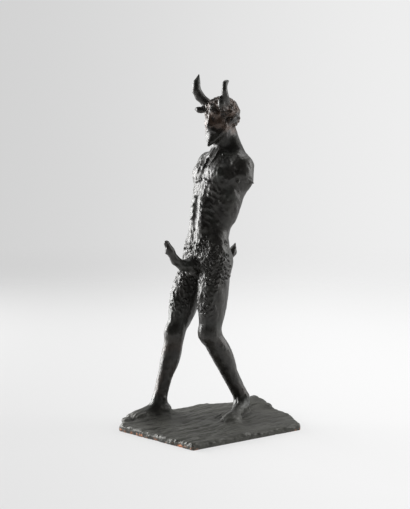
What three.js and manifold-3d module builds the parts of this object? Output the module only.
// A striding satyr on a rough plate, cast in bronze as one piece.
// Millimetres, +Z up. The figure faces -Y and its left side is +X. The origin is the middle of the
// plate's underside. The surface is one distance field of bones, muscles and locks, traced on a
// lattice, thinned to a light mesh and cut flat underneath.

import * as THREE from "three";
import { mergeVertices } from "three/addons/utils/BufferGeometryUtils.js";
import Module from "manifold-3d";

const RAD = Math.PI / 180;

// Driving dimensions of the figure, in millimetres and degrees
const BODY_X = -38; // the figure stands off the plate's middle, towards its right side
const PELVIS = [BODY_X, 11, 219];
const TORSO_LEAN = 12; // the upper body leans back
const HIP_HALF = 20;
const HIP_DROP = 10; // below the middle of the pelvis
const SHOULDER_HALF = 38;
const SKULL = [BODY_X, 34, 399];
const HEAD_TURN = 11.6; // towards its left
const HEAD_BOW = 6;

// Each leg has its joints, how far the toes turn outwards, the length of the foot from the ankle and
// the radii at the hip, knee and ankle
const LEGS = [
  {
    side: -1,
    knee: [-60, -25, 117],
    ankle: [-64, -47, 32],
    toeOut: 8,
    foot: 40,
    radii: [19, 12.5, 9],
    calf: [11.5, 11, 26],
  },
  {
    side: 1,
    knee: [-16, -1, 120],
    ankle: [-9, 47, 31],
    toeOut: 36,
    foot: 60,
    radii: [20, 14, 9.5],
    calf: [12, 11, 28],
  },
];

// The plate
const PLATE_RISE = 9;
const PLATE_CORNERS = [
  [76, -94],
  [76, 77],
  [24, 100],
  [-52, 108],
  [-70, 62],
  [-79, 20],
  [-82, -20],
  [-83, -62],
  [-75, -92],
  [-59, -115],
];
const PLATE_DEPTH = 12; // below the cut
const PLATE_MOUNDS = [
  // x, y, reach, rise
  [-66, -78, 26, 4],
  [-60, -44, 26, 5],
  [-12, 40, 30, 4],
  [-36, 88, 24, 12],
  [-62, 30, 36, 5],
  [36, -8, 24, 3],
];

// The lattice that the surface is traced on, and the faces that are kept
const CELL = 2.35;
const HEAD_CELL = 1.9;
const HEAD_FROM = 345;
const TOP = 464;
const FACES = 9500;

const add = (a, b) => [a[0] + b[0], a[1] + b[1], a[2] + b[2]];
const mix = (a, b, t) => a.map((v, i) => v + (b[i] - v) * t);

// A frame at a place: turn is about Z, towards the left, bow tips the front down and roll tips the
// left side down. It gives the place of a point that is so far to the left, forward and up.
function frame(origin, turn = 0, bow = 0, roll = 0) {
  const m = new THREE.Matrix4()
    .makeRotationZ(turn * RAD)
    .multiply(new THREE.Matrix4().makeRotationX(bow * RAD))
    .multiply(new THREE.Matrix4().makeRotationY(roll * RAD));
  const v = new THREE.Vector3();
  const at = (left, front, up) => {
    v.set(left, -front, up).applyMatrix4(m);
    return [origin[0] + v.x, origin[1] + v.y, origin[2] + v.z];
  };
  at.matrix = m;
  return at;
}

// A limb: the distance to a cone with ball ends
function limb(a, b, ra, rb) {
  const [ax, ay, az] = a;
  const ux = b[0] - ax;
  const uy = b[1] - ay;
  const uz = b[2] - az;
  const l2 = ux * ux + uy * uy + uz * uz;
  const rr = ra - rb;
  const a2 = l2 - rr * rr;
  const il2 = 1 / l2;
  const centre = mix(a, b, 0.5);
  const reach = Math.sqrt(l2) / 2 + Math.max(ra, rb);
  const distance = (x, y, z) => {
    const px = x - ax;
    const py = y - ay;
    const pz = z - az;
    const w = px * ux + py * uy + pz * uz;
    const zz = w - l2;
    const qx = px * l2 - ux * w;
    const qy = py * l2 - uy * w;
    const qz = pz * l2 - uz * w;
    const x2 = qx * qx + qy * qy + qz * qz;
    const y2 = w * w * l2;
    const z2 = zz * zz * l2;
    const k = Math.sign(rr) * rr * rr * x2;
    if (Math.sign(zz) * a2 * z2 > k) return Math.sqrt(x2 + z2) * il2 - rb;
    if (Math.sign(w) * a2 * y2 < k) return Math.sqrt(x2 + y2) * il2 - ra;
    return (Math.sqrt(x2 * a2 * il2) + w * rr) * il2 - ra;
  };
  return { distance, centre, reach };
}

// A muscle or a lump: the distance to an ellipsoid with three half-sizes along the axes of a frame
function lump(centre, half, at = null) {
  const e = at ? at.matrix.elements : new THREE.Matrix4().elements;
  const [hx, hy, hz] = half;
  const [cx, cy, cz] = centre;
  const distance = (x, y, z) => {
    const px = x - cx;
    const py = y - cy;
    const pz = z - cz;
    const a = (e[0] * px + e[1] * py + e[2] * pz) / hx;
    const b = (e[4] * px + e[5] * py + e[6] * pz) / hy;
    const c = (e[8] * px + e[9] * py + e[10] * pz) / hz;
    const k0 = Math.sqrt(a * a + b * b + c * c);
    const k1 = Math.sqrt((a * a) / (hx * hx) + (b * b) / (hy * hy) + (c * c) / (hz * hz));
    return k1 < 1e-9 ? -Math.min(hx, hy, hz) : (k0 * (k0 - 1)) / k1;
  };
  return { distance, centre, reach: Math.max(hx, hy, hz) };
}

// Several shapes joined into one
function together(shapes, blend) {
  const centre = shapes[0].centre;
  const reach = Math.max(
    ...shapes.map((s) => s.reach + Math.hypot(...[0, 1, 2].map((i) => s.centre[i] - centre[i]))),
  );
  const distance = (x, y, z) =>
    shapes.reduce((d, s) => smoothMin(d, s.distance(x, y, z), blend), 1e3);
  return { distance, centre, reach };
}

// A shape without what lies past a plane
function cutOff(shape, place, towards, blend) {
  const [nx, ny, nz] = towards;
  const distance = (x, y, z) => {
    const past = (x - place[0]) * nx + (y - place[1]) * ny + (z - place[2]) * nz;
    return -smoothMin(-shape.distance(x, y, z), -past, blend);
  };
  return { ...shape, distance };
}

// A chain of limbs through several places, with a radius at each
function chain(places, radii) {
  return places.slice(1).map((p, i) => limb(places[i], p, radii[i], radii[i + 1]));
}

const smoothMin = (a, b, k) => {
  const h = Math.max(k - Math.abs(a - b), 0) / k;
  return Math.min(a, b) - (h * h * k) / 4;
};

// The body is a list of additions and cuts in the order that they are made
const steps = [];
const put = (shapes, blend) =>
  [shapes].flat().forEach((s) => steps.push({ ...s, blend, cut: false }));
const carve = (shapes, blend) =>
  [shapes].flat().forEach((s) => steps.push({ ...s, blend, cut: true }));

const torso = frame(PELVIS, 0, -TORSO_LEAN);

function makeTorso() {
  put(lump(torso(0, 0, 0), [31, 22, 26], torso), 4);
  put(lump(torso(0, 2, 36), [29, 23.5, 38], torso), 12);
  put(lump(torso(0, 1.5, 88), [36.5, 27, 45], torso), 14);
  put(lump(torso(0, -2, 117), [36, 22, 22], torso), 12);
  for (const s of [-1, 1]) {
    put(lump(torso(s * 17, 17, 106), [17, 10.5, 14], torso), 9); // breast
    put(lump(torso(s * 22, -15, 104), [15, 11, 22], torso), 10); // shoulder blade
    put(lump(torso(s * 26, -4, 72), [11.5, 15, 31], torso), 10); // broad muscle of the back
    put(limb(torso(s * 3, 18, 129), torso(s * 34, 3, 131), 3, 3.5), 6); // collar bone
    put(lump(torso(s * 24, 3, 16), [10, 15, 15], torso), 9); // flank
    for (const [i, u] of [16, 34, 50, 65].entries()) {
      put(lump(torso(s * 8, 21.6 + i * 1.7, u), [8, 4, 9], torso), 6);
    }
    for (let i = 0; i < 4; i++) {
      const rib = frame(torso(0, 0, 64 + i * 9), s * (48 + i * 4), -TORSO_LEAN);
      put(limb(rib(0, 25.5, -4), rib(s * 8, 27, 3), 2.6, 3), 6);
    }
    put(lump(torso(s * 14, -14, -3), [16, 14, 19], torso), 7); // buttock
  }
  carve(limb(torso(0, -33, 30), torso(0, -31, 112), 3, 3), 9);
  carve(limb(torso(0, 26, 4), torso(0, 31.5, 74), 1.6, 1.6), 4);
  carve(limb(torso(0, 34, 88), torso(0, 27, 124), 3.2, 2.4), 5);
  carve(limb(torso(0, -34, -16), torso(0, -31, 10), 2.5, 3), 7);
}

function makeArmStumps() {
  for (const s of [-1, 1]) {
    const shoulder = torso(s * (SHOULDER_HALF - 1), -5, 122);
    const end = torso(s * (SHOULDER_HALF + 4), -9, 84);
    const arm = together(
      [
        lump(torso(s * (SHOULDER_HALF - 2), -4, 119), [13, 16, 16], torso),
        limb(shoulder, end, 12.5, 12),
        lump(torso(s * (SHOULDER_HALF + 1), -5, 102), [11, 16, 22], torso),
      ],
      6,
    );
    // The break slants: its face looks down, outward and a little forward
    put(cutOff(arm, torso(s * SHOULDER_HALF, 0, 98), [s * 0.5, -0.35, -0.79], 2), 7);
    put(lump(torso(s * 27, 12, 98), [8, 7, 9], torso), 5);
    put(lump(torso(s * 36, 10, 101), [3.8, 3, 3.8], torso), 2);
    put(lump(torso(s * 31, 16, 101), [3.4, 3, 3.4], torso), 2);
  }
}

function makeNeck() {
  const pit = torso(0, 3, 126);
  const nape = add(SKULL, [0, 13, -12]);
  put(limb(add(pit, [0, 0, 4]), add(SKULL, [0, 8, -14]), 13, 11.5), 8);
  for (const s of [-1, 1]) {
    put(limb(add(nape, [s * 4, -1, -12]), torso(s * 27, -8, 132), 9, 8), 8);
    put(limb(add(SKULL, [s * 13, 2, -14]), torso(s * 4, 15, 128), 3, 2.6), 5);
  }
}

const head = frame(SKULL, HEAD_TURN, HEAD_BOW);

function makeHead() {
  put(lump(head(0, -1, 2), [17.5, 22, 21], head), 4);
  put(lump(head(0, 7, -12), [13.5, 14, 18], head), 8); // jaw
  put(lump(head(0, 1, -24), [14, 13.5, 14], head), 8); // throat
  put(limb(head(0, 20.5, 5), head(0, 25, -10), 2.2, 3.4), 3); // nose
  put(limb(head(-9, 18.5, 5), head(9, 18.5, 5), 3.4, 3.4), 4); // brow
  for (const s of [-1, 1]) {
    put(lump(head(s * 10, 14.5, -7), [5.5, 5.5, 5], head), 5); // cheekbone
    carve(lump(head(s * 7.5, 22.5, 0), [4.4, 4, 3.6], head), 3); // socket
    put(lump(head(s * 7, 17.4, 0), [3.4, 3, 2.6], head), 1.2); // eye
    put(limb(head(s * 1.5, 22, -15), head(s * 9, 17, -20), 2.8, 2), 2); // moustache
  }
  // The beard comes to a point in front of the chest, and its locks run up the jaw to the ears
  put(limb(head(0, 17, -23), head(0, 28.5, -34), 8, 2.4), 4);
  for (const s of [-1, 1]) {
    for (let i = 0; i < 4; i++) {
      const from = head(s * (15.5 - i), 4 + i * 3.2, -5 - i * 4);
      const to = head(s * (13.5 - i * 3), 11 + i * 4, -18 - i * 3.6);
      put(limb(from, to, 4.2, 3), 1.5);
    }
  }
}

function makeHorns() {
  const path = [
    [11, 5, 12],
    [18, 7, 19],
    [24, 12.5, 28],
    [26, 15.5, 36],
    [26.3, 14, 45],
    [25, 8, 58.5],
  ];
  const radii = [6.4, 6, 6, 5.6, 4.6, 1.2];
  put(chain(path.map(([o, g, u]) => head(-o, g, u)), radii), 3);
  // The left horn is shorter and more upright, and its tip is blunt
  const short = path.slice(0, 5).map(([o, g, u]) => head(o * 0.86, g, u * 0.98));
  put(chain([...short, head(22.6, 8.5, 46.5)], [5.8, 5, 4.4, 3.8, 3.4, 2.9]), 3);
}

function makeEars() {
  // The right ear stands out sideways, the left one stands up in front of its horn
  for (const [s, out, front, up] of [
    [-1, 11, 6, 3],
    [1, 1.5, 4.5, 19],
  ]) {
    const root = head(s * 15.5, 14, 9);
    const tip = head(s * (15.5 + out), 14 + front, 9 + up);
    put(chain([root, mix(root, tip, 0.55), tip], [2.8, 4.2, 1.3]), 2);
  }
}

// Curls in a cap round the skull, laid out by the golden angle
function makeCurls() {
  const COUNT = 62;
  for (let i = 0; i < COUNT; i++) {
    const up = 1 - ((i + 0.5) / COUNT) * 1.5;
    const angle = i * 137.508;
    const flat = Math.sqrt(1 - up * up);
    const o = flat * Math.sin(angle * RAD);
    const g = flat * Math.cos(angle * RAD);
    if (g > 0.5 && up < 0.4) continue;
    if (g > 0.1 && up < -0.1) continue;
    const size = 4.2 + 0.8 * Math.sin(i * 2.4);
    put(lump(head(o * 18.5, -1 + g * 22, 2 + up * 21.5), [size, size, size], head), 1.2);
  }
}

function makeLoins() {
  put(lump(torso(0, 23, -17), [10, 9.5, 9.5], torso), 5);
  const path = [
    [0, -24, -8],
    [0, -38, -11],
    [0, -50, -3],
    [0, -58, 9],
    [0, -64, 21],
  ];
  put(chain(path.map((step) => add(PELVIS, step)), [7.5, 6.4, 5.4, 5, 3.8]), 5);
}

function makeTail() {
  const path = [
    [0, 20, -10],
    [0, 34, -5],
    [0, 42.5, 2],
    [0, 46.5, 13],
  ];
  put(chain(path.map((step) => add(PELVIS, step)), [4, 6, 5.2, 1.3]), 3);
}

// The place where the surface made so far is met on the way in from outside
function seat(middle, angle, reach) {
  const out = frame([0, 0, 0], angle)(0, 1, 0);
  let r = reach;
  for (let i = 0; i < 24; i++) {
    const d = field(middle[0] + out[0] * r, middle[1] + out[1] * r, middle[2]);
    if (d < 0.1) break;
    r -= d * 0.8;
  }
  return (depth) => add(middle, [out[0] * (r - depth), out[1] * (r - depth), 0]);
}

// Rows of short tufts round the hip and the upper thigh, each one a comma that points down
function makeFur(side, hip, knee) {
  const ROWS = 9;
  const tufts = [];
  for (let row = 0; row < ROWS; row++) {
    const t = row / (ROWS - 1);
    const middle = add(mix(hip, knee, 0.6 * t), [0, 0, 18 * (1 - t)]);
    for (let i = 0; i < 7; i++) {
      // The fur thins out in a ragged line down the thigh
      if (t > 0.62 && Math.sin(row * 5.3 + i * 2.9) < 1.8 * (t - 0.62)) continue;
      const angle = side * (-32 + 24 * i + 12 * (row % 2) + 8 * Math.sin(row * 3 + i));
      const curl = side * 14 * Math.sin(row * 2.1 + i * 1.7);
      const drop = 3 * Math.sin(row * 1.3 + i * 4.1);
      const size = 1 - 0.25 * t;
      const from = seat(add(middle, [0, 0, 4 + drop]), angle, 34)(0.7);
      const to = seat(add(middle, [0, 0, drop - 4]), angle + curl, 34)(1.2);
      tufts.push(limb(from, to, 1.8 * size, 2.9 * size));
    }
  }
  put(tufts, 2);
}

function makeLeg({ side, knee, ankle, toeOut, foot, radii, calf }) {
  const hip = add(PELVIS, [side * HIP_HALF, 0, -HIP_DROP]);
  const [hipR, kneeR, ankleR] = radii;
  const bowOf = (from, to) => Math.atan2(to[1] - from[1], from[2] - to[2]) / RAD;
  const thigh = frame(mix(hip, knee, 0.5), 0, bowOf(hip, knee));
  const shin = frame(mix(knee, ankle, 0.5), 0, bowOf(knee, ankle));

  put(limb(hip, knee, hipR, kneeR), 10);
  put(lump(thigh(side * 2, 7, 6), [14, 14, 38], thigh), 8);
  put(lump(thigh(0, -6, 0), [13, 13, 38], thigh), 8);
  put(lump(add(knee, [0, -7, 3]), [8, 7, 10]), 6);
  put(limb(knee, ankle, kneeR - 1, ankleR), 6);
  put(lump(shin(0, -4.5, 18), calf, shin), 8);

  // The foot melts into the ground
  const ground = frame([ankle[0], ankle[1], 0], side * toeOut);
  const sole = 11;
  const ball = ground(0, foot - 13, sole + 3);
  put(limb(ankle, ground(0, 3, sole + 8), ankleR, ankleR + 1), 5);
  put(lump(ground(0, -7, sole + 5), [10, 10, 11], ground), 6);
  put(limb(ground(0, 5, sole + 9), ball, 9, 6), 6);
  put(lump(ball, [12.5, 14, 5.5], ground), 6);
  for (let i = 0; i < 5; i++) {
    const spread = side * (i - 2) * 4.8;
    const tip = foot - Math.abs(i - 0.7) * 2.4;
    put(limb(ground(spread * 0.9, tip - 14, sole + 2), ground(spread, tip - 3, sole), 3.4, 2.8), 2);
  }
}

const wave = (x, y, z, scale, seed) =>
  (Math.sin(x / scale + seed * 1.7 + Math.sin(y / scale * 0.8 + seed)) +
    Math.sin(y / scale + seed * 2.3 + Math.sin(z / scale * 0.9 + seed * 0.7)) +
    Math.sin(z / scale + seed * 3.1 + Math.sin(x / scale * 0.7 + seed * 1.3))) / 3;

function plateRise(x, y) {
  // Long finger marks run along the plate
  const marks = Math.sin(x / 2.7 + 2.6 * Math.sin(y / 29 + x / 40) + 1.3 * Math.sin(y / 9 + x / 13));
  let rise = PLATE_RISE + 1.6 * wave(x, y, 0, 17, 1) + 0.8 * wave(y, x, 4, 8, 2) + 0.35 * marks;
  for (const [mx, my, reach, height] of PLATE_MOUNDS) {
    const d2 = ((x - mx) ** 2 + (y - my) ** 2) / reach ** 2;
    rise += height * Math.exp(-d2 * 1.4);
  }
  return rise;
}

// The distance to the plate's outline, below 0 inside
function outline(x, y) {
  const n = PLATE_CORNERS.length;
  let nearest = Infinity;
  let inside = false;
  for (let i = 0, j = n - 1; i < n; j = i++) {
    const [ax, ay] = PLATE_CORNERS[j];
    const [bx, by] = PLATE_CORNERS[i];
    const ex = bx - ax;
    const ey = by - ay;
    const t = Math.min(1, Math.max(0, ((x - ax) * ex + (y - ay) * ey) / (ex * ex + ey * ey)));
    nearest = Math.min(nearest, Math.hypot(x - ax - t * ex, y - ay - t * ey));
    if (ay > y !== by > y && x < (ex * (y - ay)) / ey + ax) inside = !inside;
  }
  return (inside ? -nearest : nearest) + 0.8 * wave(x, y, 0, 6, 3);
}

function plate(x, y, z) {
  if (z > 50) return z - 40;
  const side = outline(x, y);
  const top = (z - plateRise(x, y)) * 0.85;
  const under = -PLATE_DEPTH - z;
  const k = 5;
  const h = Math.max(k - Math.abs(side - top), 0) / k;
  return Math.max(Math.max(side, top) + (h * h * k) / 4, under);
}

makeTorso();
makeArmStumps();
makeNeck();
LEGS.forEach(makeLeg);
makeTail();
makeLoins();
LEGS.forEach(({ side, knee }) => makeFur(side, add(PELVIS, [side * HIP_HALF, 0, -HIP_DROP]), knee));
makeHead();
makeHorns();
makeEars();
makeCurls();

function field(x, y, z) {
  let d = 60;
  for (const s of steps) {
    const far = Math.hypot(x - s.centre[0], y - s.centre[1], z - s.centre[2]) - s.reach;
    if (s.cut) {
      if (far > s.blend - Math.min(d, 0) && far > s.blend) continue;
      d = -smoothMin(-d, s.distance(x, y, z), s.blend);
    } else {
      if (far > d + s.blend) continue;
      d = smoothMin(d, s.distance(x, y, z), s.blend);
    }
  }
  return smoothMin(d, plate(x, y, z), 5);
}

const ticks = (from, to, step) =>
  Array.from({ length: Math.ceil((to - from) / step) + 1 }, (_, i) => from + i * step);

// Each cube of the lattice is split into six tetrahedra round its diagonal, all turned the same way
const CORNER = [0, 1, 2, 3, 4, 5, 6, 7].map((c) => [c & 1, (c >> 1) & 1, (c >> 2) & 1]);
const TETRAHEDRA = [
  [0, 1, 3, 7],
  [0, 3, 2, 7],
  [0, 2, 6, 7],
  [0, 6, 4, 7],
  [0, 4, 5, 7],
  [0, 5, 1, 7],
];

// Whether an order of four corners is an odd number of swaps away from 0, 1, 2, 3
const isOdd = (order) =>
  order.flatMap((a, i) => order.slice(i + 1).filter((b) => b < a)).length % 2 === 1;

// The faces that part the corners inside from the corners outside, by which corners are inside
const CASES = Array.from({ length: 16 }, (_, bits) => {
  const inside = [0, 1, 2, 3].filter((n) => (bits >> n) & 1);
  const outside = [0, 1, 2, 3].filter((n) => !((bits >> n) & 1));
  const [a, b, c, d] = [...inside, ...outside];
  let faces = [];
  if (inside.length === 1) faces = [[[a, b], [a, c], [a, d]]];
  if (inside.length === 2) faces = [[[a, c], [a, d], [b, d]], [[a, c], [b, d], [b, c]]];
  if (inside.length === 3) faces = [[[a, d], [b, d], [c, d]]];
  return isOdd([a, b, c, d]) ? faces.map((f) => [...f].reverse()) : faces;
});

function sample(xs, ys, zs) {
  const [nx, ny, nz] = [xs.length, ys.length, zs.length];
  const values = new Float32Array(nx * ny * nz);
  // A block that is far from the surface takes the value at its middle
  const BLOCK = 4;
  for (let k = 0; k < nz; k += BLOCK) {
    for (let j = 0; j < ny; j += BLOCK) {
      for (let i = 0; i < nx; i += BLOCK) {
        const [i1, j1, k1] = [Math.min(i + BLOCK, nx), Math.min(j + BLOCK, ny), Math.min(k + BLOCK, nz)];
        const mx = (xs[i] + xs[i1 - 1]) / 2;
        const my = (ys[j] + ys[j1 - 1]) / 2;
        const mz = (zs[k] + zs[k1 - 1]) / 2;
        const middle = field(mx, my, mz);
        const half = Math.hypot(xs[i1 - 1] - mx, ys[j1 - 1] - my, zs[k1 - 1] - mz) + CELL;
        const near = Math.abs(middle) < half * 1.6;
        for (let c = k; c < k1; c++) {
          for (let b = j; b < j1; b++) {
            for (let a = i; a < i1; a++) {
              values[a + nx * (b + ny * c)] = near ? field(xs[a], ys[b], zs[c]) : middle;
            }
          }
        }
      }
    }
  }
  return values;
}

function trace(xs, ys, zs) {
  const [nx, ny, nz] = [xs.length, ys.length, zs.length];
  const values = sample(xs, ys, zs);
  const total = nx * ny * nz;
  const place = (n) => [xs[n % nx], ys[Math.floor(n / nx) % ny], zs[Math.floor(n / (nx * ny))]];
  const points = [];
  const faces = [];
  const known = new Map();
  const crossing = (m, n) => {
    const [low, high] = m < n ? [m, n] : [n, m];
    const key = low * total + high;
    if (!known.has(key)) {
      const t = Math.min(0.95, Math.max(0.05, values[low] / (values[low] - values[high])));
      known.set(key, points.length);
      points.push(mix(place(low), place(high), t));
    }
    return known.get(key);
  };
  for (let k = 0; k < nz - 1; k++) {
    for (let j = 0; j < ny - 1; j++) {
      for (let i = 0; i < nx - 1; i++) {
        const cube = CORNER.map(([a, b, c]) => i + a + nx * (j + b + ny * (k + c)));
        const inside = cube.filter((n) => values[n] < 0).length;
        if (inside === 0 || inside === 8) continue;
        for (const tetrahedron of TETRAHEDRA) {
          const corners = tetrahedron.map((c) => cube[c]);
          const bits = corners.reduce((sum, n, c) => sum + (values[n] < 0 ? 1 << c : 0), 0);
          for (const face of CASES[bits]) {
            faces.push(face.map(([a, b]) => crossing(corners[a], corners[b])));
          }
        }
      }
    }
  }
  return { points, faces };
}

// Thins a closed mesh by closing up the edge that changes the shape least, again and again
function thin({ points, faces }, keep, weigh) {
  const P = points;
  const F = faces.map((f) => [...f]);
  const around = P.map(() => new Set());
  F.forEach((f, i) => f.forEach((v) => around[v].add(i)));
  const Q = P.map(() => new Float64Array(10));
  const normalOf = (a, b, c) => {
    const [ux, uy, uz] = [b[0] - a[0], b[1] - a[1], b[2] - a[2]];
    const [vx, vy, vz] = [c[0] - a[0], c[1] - a[1], c[2] - a[2]];
    return [uy * vz - uz * vy, uz * vx - ux * vz, ux * vy - uy * vx];
  };
  for (const f of F) {
    const [a, b, c] = f.map((v) => P[v]);
    const n = normalOf(a, b, c);
    const size = Math.hypot(...n) || 1;
    const [x, y, z] = n.map((v) => v / size);
    const w = -(x * a[0] + y * a[1] + z * a[2]);
    const weight = size * weigh(a);
    const terms = [x * x, x * y, x * z, x * w, y * y, y * z, y * w, z * z, z * w, w * w];
    for (const v of f) terms.forEach((t, i) => (Q[v][i] += t * weight));
  }
  const error = (q, [x, y, z]) =>
    q[0] * x * x + 2 * q[1] * x * y + 2 * q[2] * x * z + 2 * q[3] * x + q[4] * y * y +
    2 * q[5] * y * z + 2 * q[6] * y + q[7] * z * z + 2 * q[8] * z + q[9];
  const best = (u, v) => {
    const q = Q[u].map((t, i) => t + Q[v][i]);
    const middle = mix(P[u], P[v], 0.5);
    // A slight pull to the middle keeps the answer near the edge where the surface is flat
    const pull = (q[0] + q[4] + q[7]) * 1e-3;
    const A = new THREE.Matrix3().set(
      q[0] + pull, q[1], q[2], q[1], q[4] + pull, q[5], q[2], q[5], q[7] + pull,
    );
    const r = new THREE.Vector3(...[3, 6, 8].map((t, i) => pull * middle[i] - q[t]));
    const at = r.applyMatrix3(A.invert()).toArray();
    const span = Math.hypot(...[0, 1, 2].map((i) => P[u][i] - P[v][i]));
    const off = Math.hypot(...[0, 1, 2].map((i) => at[i] - middle[i]));
    const spot = off < span * 1.5 ? at : middle;
    return { cost: error(q, spot) + 1e-4 * span * span, spot };
  };

  // A heap of edges, cheapest first; an edge that has changed since is skipped when it comes up
  const heap = [];
  const version = new Int32Array(P.length);
  const push = (item) => {
    let i = heap.push(item) - 1;
    while (i > 0) {
      const up = (i - 1) >> 1;
      if (heap[up].cost <= heap[i].cost) break;
      [heap[up], heap[i]] = [heap[i], heap[up]];
      i = up;
    }
  };
  const pop = () => {
    const top = heap[0];
    const last = heap.pop();
    if (heap.length) {
      heap[0] = last;
      let i = 0;
      for (;;) {
        let low = i;
        for (const child of [2 * i + 1, 2 * i + 2]) {
          if (child < heap.length && heap[child].cost < heap[low].cost) low = child;
        }
        if (low === i) break;
        [heap[low], heap[i]] = [heap[i], heap[low]];
        i = low;
      }
    }
    return top;
  };
  const consider = (u, v) => push({ u, v, at: version[u] + version[v], ...best(u, v) });
  const neighbours = (v) => {
    const out = new Set();
    for (const f of around[v]) F[f].forEach((w) => w !== v && out.add(w));
    return out;
  };
  for (const f of F) {
    f.forEach((u, i) => u < f[(i + 1) % 3] && consider(u, f[(i + 1) % 3]));
  }
  const turnsOver = (u, v, spot) => {
    for (const f of around[u]) {
      if (F[f].includes(v)) continue;
      const before = normalOf(...F[f].map((w) => P[w]));
      const after = normalOf(...F[f].map((w) => (w === u ? spot : P[w])));
      const [lb, la] = [Math.hypot(...before), Math.hypot(...after)];
      const dot = before[0] * after[0] + before[1] * after[1] + before[2] * after[2];
      if (la < 1e-3 || dot < 0.25 * lb * la) return true;
    }
    return false;
  };
  let left = F.length;
  while (left > keep && heap.length) {
    const { u, v, at, spot } = pop();
    if (!around[u].size || !around[v].size || version[u] + version[v] !== at) continue;
    const near = neighbours(v);
    if (!near.has(u)) continue;
    if ([...neighbours(u)].filter((w) => near.has(w)).length !== 2) continue;
    if (turnsOver(u, v, spot) || turnsOver(v, u, spot)) continue;
    P[u] = spot;
    Q[v].forEach((t, i) => (Q[u][i] += t));
    for (const f of [...around[v]]) {
      if (F[f].includes(u)) {
        F[f].forEach((w) => around[w].delete(f));
        F[f] = null;
        left -= 1;
      } else {
        F[f][F[f].indexOf(v)] = u;
        around[u].add(f);
      }
    }
    around[v].clear();
    version[u] += 1;
    for (const w of neighbours(u)) {
      consider(u, w);
    }
  }
  return { points: P, faces: F.filter(Boolean) };
}

const wasm = await Module();
wasm.setup();

function solidOf({ points, faces }) {
  const index = new Map();
  const flat = [];
  const triVerts = new Uint32Array(faces.length * 3);
  faces.flat().forEach((v, i) => {
    if (!index.has(v)) {
      index.set(v, index.size);
      flat.push(...points[v]);
    }
    triVerts[i] = index.get(v);
  });
  return new wasm.Manifold(
    new wasm.Mesh({ numProp: 3, vertProperties: new Float32Array(flat), triVerts }),
  );
}

function solidOfBox(width, depth, height, centre) {
  const box = new THREE.BoxGeometry(width, depth, height).translate(...centre);
  box.deleteAttribute("normal");
  box.deleteAttribute("uv");
  const merged = mergeVertices(box);
  return new wasm.Manifold(
    new wasm.Mesh({
      numProp: 3,
      vertProperties: new Float32Array(merged.attributes.position.array),
      triVerts: new Uint32Array(merged.index.array),
    }),
  );
}

const xs = ticks(-92, 88, CELL);
const ys = ticks(-124, 124, CELL);
const zs = [...ticks(-PLATE_DEPTH - 4, HEAD_FROM - CELL, CELL), ...ticks(HEAD_FROM, TOP, HEAD_CELL)];
const surface = trace(xs, ys, zs);
const light = thin(surface, FACES, (p) => (p[2] > HEAD_FROM ? 5 : p[2] < 14 ? 0.35 : 1));
const UNDER = 60;
const statue = solidOf(light).subtract(solidOfBox(400, 400, UNDER, [0, 0, -UNDER / 2]));

function geometryOf(solid) {
  const mesh = solid.getMesh();
  const geometry = new THREE.BufferGeometry();
  const stride = mesh.numProp;
  const position = new Float32Array(mesh.numVert * 3);
  for (let i = 0; i < mesh.numVert; i++) {
    for (let c = 0; c < 3; c++) position[3 * i + c] = mesh.vertProperties[stride * i + c];
  }
  geometry.setAttribute("position", new THREE.BufferAttribute(position, 3));
  geometry.setIndex(new THREE.BufferAttribute(mesh.triVerts, 1));
  // The middle of the whole work's box stands over the origin
  geometry.computeBoundingBox();
  const middle = geometry.boundingBox.getCenter(new THREE.Vector3());
  geometry.translate(-middle.x, -middle.y, 0);
  geometry.computeVertexNormals();
  return geometry;
}

const bronze = new THREE.MeshStandardMaterial({ color: 0x2e2a22, roughness: 0.45, metalness: 0.85 });
const part = new THREE.Group();
part.name = "satyr";
const body = new THREE.Mesh(geometryOf(statue), bronze);
body.name = "satyr_statue";
part.add(body);

export default part;
